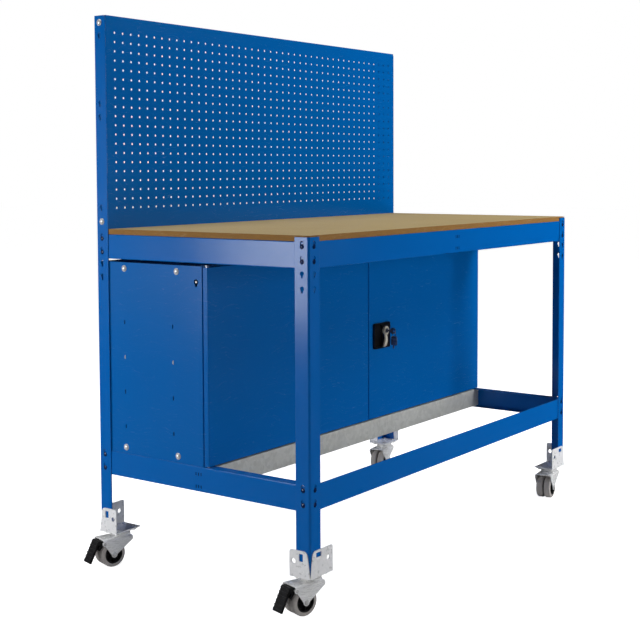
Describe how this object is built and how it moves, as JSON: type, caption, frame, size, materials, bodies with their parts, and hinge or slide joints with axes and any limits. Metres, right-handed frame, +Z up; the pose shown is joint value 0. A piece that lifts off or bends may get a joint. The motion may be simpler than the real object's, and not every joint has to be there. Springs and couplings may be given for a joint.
{
  "type": "mobile assembly bench",
  "caption": "Steel assembly bench on swivel castors with a wooden worktop, a perforated back panel and a lockable two-door cupboard.",
  "frame": {"origin": "on the floor under the middle of the frame's footprint", "axes": "+X to the right along the front, +Y from the front to the back panel, +Z up"},
  "size_m": [1.5686, 0.7734, 1.571],
  "materials": {
    "blue_frame_paint": "semi-gloss powder coat",
    "blue_sheet_paint": "semi-gloss powder coat",
    "galvanised_steel": "bright galvanised",
    "zinc_fasteners": "bright zinc",
    "zinc_castor": "bright zinc",
    "worktop_board": "matt fibreboard",
    "tyre_grey": "matt rubber",
    "hub_black": "moulded",
    "pedal_black": "moulded",
    "lock_black": "fine moulded grain",
    "lever_chrome": "satin chrome",
    "key_steel": "nickel plated"
  },
  "bodies": {
    "root": {"upright_front_left": "blue_frame_paint", "upright_front_right": "blue_frame_paint", "upright_rear_left": "blue_frame_paint", "upright_rear_right": "blue_frame_paint", "top_beam_front": "blue_frame_paint", "top_beam_rear": "blue_frame_paint", "top_beam_left": "blue_frame_paint", "top_beam_right": "blue_frame_paint", "lower_beam_front": "blue_frame_paint", "lower_beam_rear": "blue_frame_paint", "lower_beam_left": "blue_frame_paint", "lower_beam_right": "blue_frame_paint", "cupboard_rail": "galvanised_steel", "beam_rivets": "zinc_fasteners", "worktop": "worktop_board", "pegboard": "blue_sheet_paint", "pegboard_edging": "blue_sheet_paint", "dome_bolts": "zinc_fasteners", "cupboard_side_left": "blue_sheet_paint", "cupboard_side_right": "blue_sheet_paint", "cupboard_back": "blue_sheet_paint", "cupboard_floor": "blue_sheet_paint", "cupboard_roof": "blue_sheet_paint", "cupboard_shelf": "blue_sheet_paint", "cupboard_fittings": "zinc_fasteners", "castor_brackets": "galvanised_steel", "castor_plates": "zinc_castor", "castor_bolts": "zinc_fasteners"},
    "left_door": {"door_left": "blue_sheet_paint"},
    "right_door": {"door_right": "blue_sheet_paint", "lock_plate": "lock_black"},
    "lever": {"lock_lever": "lever_chrome", "lock_cam": "zinc_fasteners"},
    "key": {"lock_key": "key_steel"},
    "castor_front_left": {"fork_front_left": "zinc_castor", "axle_front_left": "zinc_castor"},
    "wheel_front_left_a": {"tyre_front_left_a": "tyre_grey", "hub_front_left_a": "hub_black"},
    "wheel_front_left_b": {"tyre_front_left_b": "tyre_grey", "hub_front_left_b": "hub_black"},
    "brake_front_left": {"brake_pedal_front_left": "pedal_black"},
    "castor_front_right": {"fork_front_right": "zinc_castor", "axle_front_right": "zinc_castor"},
    "wheel_front_right_a": {"tyre_front_right_a": "tyre_grey", "hub_front_right_a": "hub_black"},
    "wheel_front_right_b": {"tyre_front_right_b": "tyre_grey", "hub_front_right_b": "hub_black"},
    "castor_rear_left": {"fork_rear_left": "zinc_castor", "axle_rear_left": "zinc_castor"},
    "wheel_rear_left_a": {"tyre_rear_left_a": "tyre_grey", "hub_rear_left_a": "hub_black"},
    "wheel_rear_left_b": {"tyre_rear_left_b": "tyre_grey", "hub_rear_left_b": "hub_black"},
    "brake_rear_left": {"brake_pedal_rear_left": "pedal_black"},
    "castor_rear_right": {"fork_rear_right": "zinc_castor", "axle_rear_right": "zinc_castor"},
    "wheel_rear_right_a": {"tyre_rear_right_a": "tyre_grey", "hub_rear_right_a": "hub_black"},
    "wheel_rear_right_b": {"tyre_rear_right_b": "tyre_grey", "hub_rear_right_b": "hub_black"}
  },
  "joints": [
    {"name": "door_left_hinge", "type": "hinge", "parent": "root", "child": "left_door", "pos_m": [-0.738, -0.029, 0.609], "axis": [0, 0, -1], "range_deg": [0, 80]},
    {"name": "door_right_hinge", "type": "hinge", "parent": "root", "child": "right_door", "pos_m": [0.738, -0.029, 0.609], "axis": [0, 0, 1], "range_deg": [0, 80]},
    {"name": "lock_lever_turn", "type": "hinge", "parent": "right_door", "child": "lever", "pos_m": [0.106, -0.05, 0.62], "axis": [0, -1, 0], "range_deg": [0, 90]},
    {"name": "lock_key_turn", "type": "hinge", "parent": "lever", "child": "key", "pos_m": [0.106, -0.053, 0.62], "axis": [0, 1, 0], "range_deg": [0, 90]},
    {"name": "swivel_front_left", "type": "hinge", "parent": "root", "child": "castor_front_left", "pos_m": [-0.7025, -0.3425, 0.088], "axis": [0, 0, 1], "continuous": true},
    {"name": "wheel_front_left_a_spin", "type": "hinge", "parent": "castor_front_left", "child": "wheel_front_left_a", "pos_m": [-0.737, -0.33221, 0.0375], "axis": [0.2857, 0.9583, 0], "continuous": true},
    {"name": "wheel_front_left_b_spin", "type": "hinge", "parent": "castor_front_left", "child": "wheel_front_left_b", "pos_m": [-0.737, -0.33221, 0.0375], "axis": [0.2857, 0.9583, 0], "continuous": true},
    {"name": "brake_front_left_press", "type": "hinge", "parent": "castor_front_left", "child": "brake_front_left", "pos_m": [-0.76575, -0.32365, 0.072], "axis": [-0.2857, -0.9583, 0], "range_deg": [0, 10]},
    {"name": "swivel_front_right", "type": "hinge", "parent": "root", "child": "castor_front_right", "pos_m": [0.7025, -0.3425, 0.088], "axis": [0, 0, 1], "continuous": true},
    {"name": "wheel_front_right_a_spin", "type": "hinge", "parent": "castor_front_right", "child": "wheel_front_right_a", "pos_m": [0.66689, -0.34776, 0.0375], "axis": [-0.1461, 0.9893, 0], "continuous": true},
    {"name": "wheel_front_right_b_spin", "type": "hinge", "parent": "castor_front_right", "child": "wheel_front_right_b", "pos_m": [0.66689, -0.34776, 0.0375], "axis": [-0.1461, 0.9893, 0], "continuous": true},
    {"name": "swivel_rear_left", "type": "hinge", "parent": "root", "child": "castor_rear_left", "pos_m": [-0.7025, 0.3425, 0.088], "axis": [0, 0, 1], "continuous": true},
    {"name": "wheel_rear_left_a_spin", "type": "hinge", "parent": "castor_rear_left", "child": "wheel_rear_left_a", "pos_m": [-0.737, 0.35279, 0.0375], "axis": [0.2857, 0.9583, 0], "continuous": true},
    {"name": "wheel_rear_left_b_spin", "type": "hinge", "parent": "castor_rear_left", "child": "wheel_rear_left_b", "pos_m": [-0.737, 0.35279, 0.0375], "axis": [0.2857, 0.9583, 0], "continuous": true},
    {"name": "brake_rear_left_press", "type": "hinge", "parent": "castor_rear_left", "child": "brake_rear_left", "pos_m": [-0.76575, 0.36135, 0.072], "axis": [-0.2857, -0.9583, 0], "range_deg": [0, 10]},
    {"name": "swivel_rear_right", "type": "hinge", "parent": "root", "child": "castor_rear_right", "pos_m": [0.7025, 0.3425, 0.088], "axis": [0, 0, 1], "continuous": true},
    {"name": "wheel_rear_right_a_spin", "type": "hinge", "parent": "castor_rear_right", "child": "wheel_rear_right_a", "pos_m": [0.66689, 0.33724, 0.0375], "axis": [-0.1461, 0.9893, 0], "continuous": true},
    {"name": "wheel_rear_right_b_spin", "type": "hinge", "parent": "castor_rear_right", "child": "wheel_rear_right_b", "pos_m": [0.66689, 0.33724, 0.0375], "axis": [-0.1461, 0.9893, 0], "continuous": true}
  ]
}
